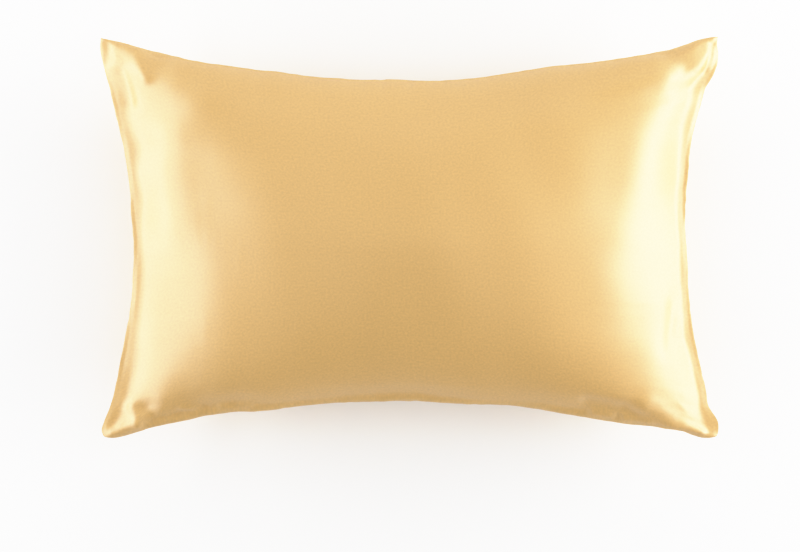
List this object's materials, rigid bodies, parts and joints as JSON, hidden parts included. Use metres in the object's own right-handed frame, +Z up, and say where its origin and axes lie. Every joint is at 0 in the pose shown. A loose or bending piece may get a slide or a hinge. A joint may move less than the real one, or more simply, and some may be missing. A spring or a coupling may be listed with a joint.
{
  "type": "pillowcase",
  "caption": "Filled satin pillowcase lying on its back: one crowned rectangular cushion with drawn-in sides, knife-edge seams and thin corner ears.",
  "frame": {"origin": "on the surface it rests on, under the middle of the outline's bounding box", "axes": "+X along the long side, to the picture's right; +Y towards the picture's upper long edge; +Z up, out of the crowned front panel"},
  "size_m": [0.7559, 0.491, 0.1953],
  "materials": {
    "satin": "champagne gold satin weave, smooth and glossy with broad soft highlights"
  },
  "bodies": {
    "root": {"pillowcase": "satin"}
  },
  "joints": []
}
